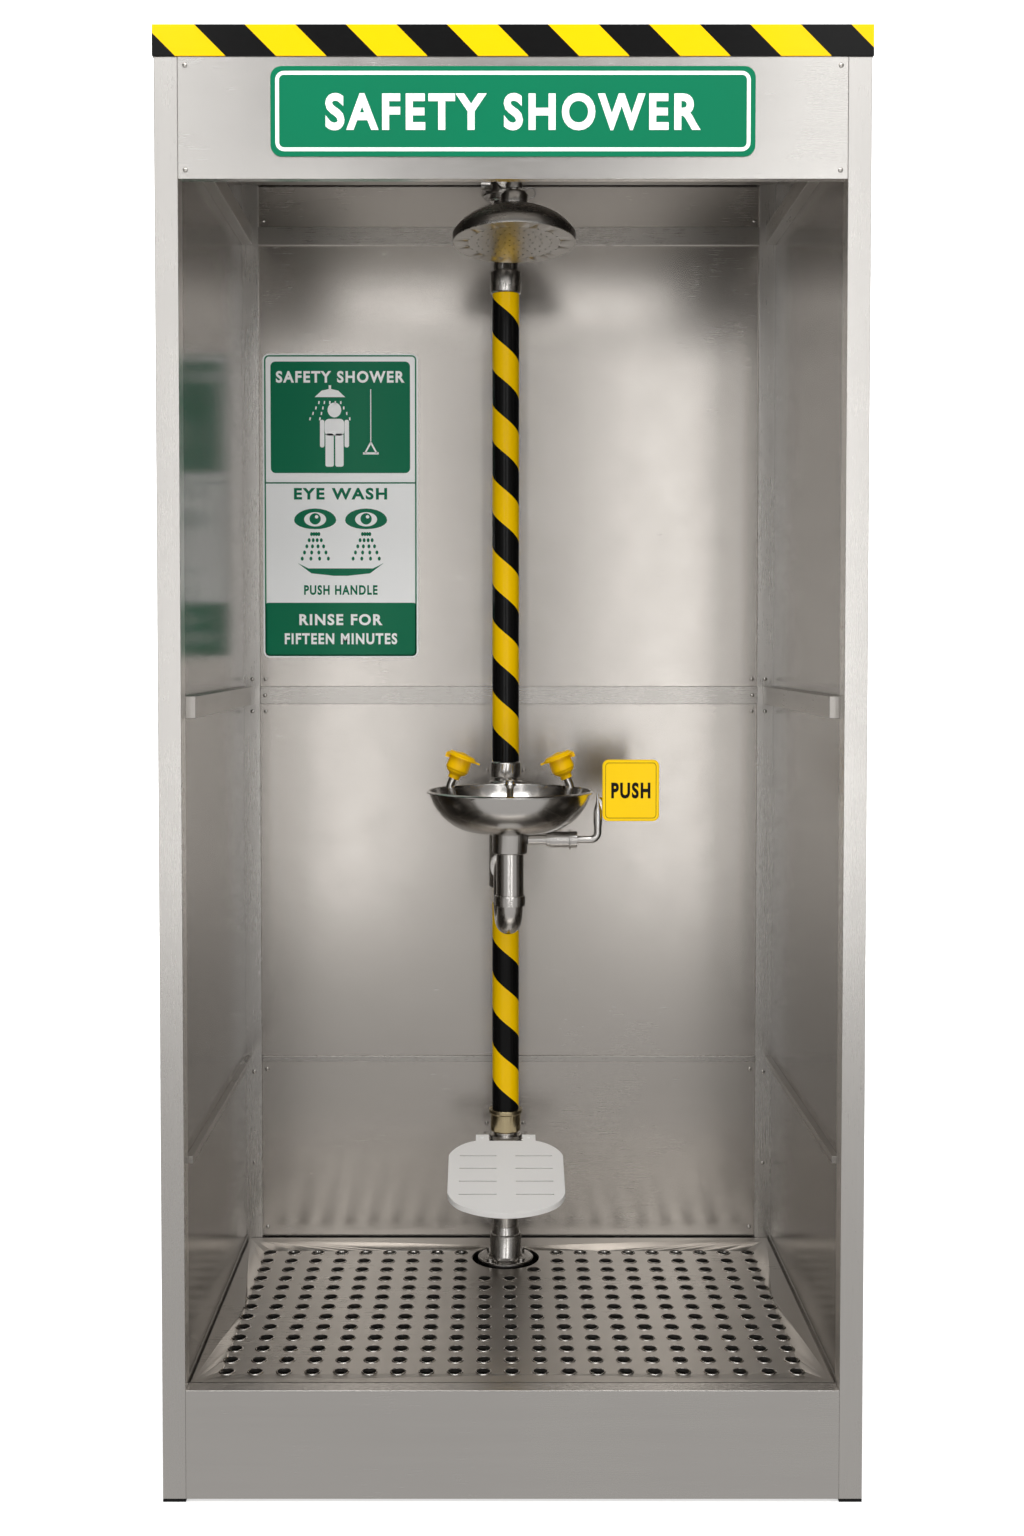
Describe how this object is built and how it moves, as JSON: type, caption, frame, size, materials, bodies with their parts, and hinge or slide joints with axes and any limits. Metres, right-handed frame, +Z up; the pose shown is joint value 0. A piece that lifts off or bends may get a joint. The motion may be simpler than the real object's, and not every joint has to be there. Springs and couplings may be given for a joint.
{
  "type": "emergency safety shower",
  "caption": "Steel cubicle with an overhead shower worked by a foot treadle, an eye wash bowl worked by a push plate, and a drained perforated floor.",
  "frame": {"origin": "on the floor, under the middle of the cubicle's box", "axes": "+X to the right as seen from the open front, +Y towards the back wall, +Z up"},
  "size_m": [1.154, 0.786, 2.435],
  "materials": {
    "brushed_stainless": "brushed, vertical grain",
    "liner_sheet": "satin sheet",
    "floor_sheet": "perforated sheet, rubbed",
    "hazard_tape": "yellow and black diagonal stripes",
    "sign_green": "satin green sign plate",
    "sign_white": "satin white sign plate",
    "polished_steel": "polished steel",
    "bowl_steel": "polished bowl",
    "nozzle_plastic": "moulded yellow cups and dust caps",
    "push_plate_finish": "yellow coated plate",
    "treadle_plastic": "pale coated plate",
    "foot_rubber": "black"
  },
  "bodies": {
    "cubicle": {"back_liner": "liner_sheet", "back_rails": "brushed_stainless", "ceiling_panel": "brushed_stainless", "drain_collar": "polished_steel", "drip_tray": "brushed_stainless", "eyewash_bowl": "bowl_steel", "eyewash_valve_body": "polished_steel", "fascia_strip": "hazard_tape", "feed_branch": "polished_steel", "flange_bolts": "polished_steel", "floor_flange": "polished_steel", "floor_grating": "floor_sheet", "floor_ledges": "brushed_stainless", "front_posts": "brushed_stainless", "header_panel": "brushed_stainless", "header_sign": "sign_green", "kick_plate": "brushed_stainless", "levelling_feet": "foot_rubber", "lower_collar": "polished_steel", "lower_sleeve": "hazard_tape", "middle_collar": "polished_steel", "nozzle_cups": "nozzle_plastic", "nozzle_tubes": "polished_steel", "outer_back_skin": "brushed_stainless", "outer_side_skins": "brushed_stainless", "panel_rivets": "brushed_stainless", "rear_posts": "brushed_stainless", "return_spring": "polished_steel", "riser_pedestal": "brushed_stainless", "roof_cap": "brushed_stainless", "shower_arm": "polished_steel", "shower_valve_body": "polished_steel", "side_liners": "liner_sheet", "side_rails": "brushed_stainless", "slip_nut": "polished_steel", "strainer_post": "polished_steel", "supply_riser": "polished_steel", "swivel_ball": "polished_steel", "tail_pipe": "polished_steel", "tee_block": "polished_steel", "top_collar": "polished_steel", "trap_pipe": "polished_steel", "treadle_clamp": "polished_steel", "upper_sleeve": "hazard_tape", "wall_brackets": "brushed_stainless", "wall_sign": "sign_white", "waste_pipe": "polished_steel"},
    "shower_head": {"bell_nut": "polished_steel", "shower_dome": "polished_steel", "spray_plate": "polished_steel"},
    "left_cap": {"left_dust_cap": "nozzle_plastic"},
    "right_cap": {"right_dust_cap": "nozzle_plastic"},
    "push_handle": {"handle_hub": "polished_steel", "handle_arm": "polished_steel", "push_plate": "push_plate_finish", "plate_strap": "polished_steel"},
    "treadle": {"treadle_plate": "treadle_plastic", "treadle_fork": "polished_steel"},
    "pull_rod": {"pull_rod": "polished_steel"},
    "valve_lever": {"valve_lever": "polished_steel"}
  },
  "joints": [
    {"name": "treadle_hinge", "type": "hinge", "parent": "cubicle", "child": "treadle", "pos_m": [-0.007, 0.235, 0.422], "axis": [1, 0, 0], "range_deg": [0, 15], "stiffness_Nm_per_rad": 14, "springref_deg": -25.78},
    {"name": "pull_rod_slide", "type": "slide", "parent": "cubicle", "child": "pull_rod", "axis": [0, 0, 1], "range_m": [0, 0.01175], "deforming": ["return_spring"]},
    {"name": "valve_lever_hinge", "type": "hinge", "parent": "cubicle", "child": "valve_lever", "pos_m": [-0.051, 0.235, 2.312], "axis": [1, 0, 0], "range_deg": [0, 15]},
    {"name": "push_handle_hinge", "type": "hinge", "parent": "cubicle", "child": "push_handle", "pos_m": [0.125, 0.04, 1.046], "axis": [-1, 0, 0], "range_deg": [0, 90]},
    {"name": "left_cap_hinge", "type": "hinge", "parent": "cubicle", "child": "left_cap", "pos_m": [-0.11742, 0.04, 1.20468], "axis": [0, -1, 0], "range_deg": [0, 100]},
    {"name": "right_cap_hinge", "type": "hinge", "parent": "cubicle", "child": "right_cap", "pos_m": [0.11742, 0.04, 1.20468], "axis": [0, 1, 0], "range_deg": [0, 100]},
    {"name": "shower_head_swivel", "type": "hinge", "parent": "cubicle", "child": "shower_head", "pos_m": [0.007, 0.04, 2.233], "axis": [1, 0, 0], "range_deg": [-10, 10]}
  ],
  "couplings": [
    {"joint": "pull_rod_slide", "follows": "treadle_hinge", "m_per_rad": 0.044872},
    {"joint": "valve_lever_hinge", "follows": "treadle_hinge", "ratio": 1}
  ]
}
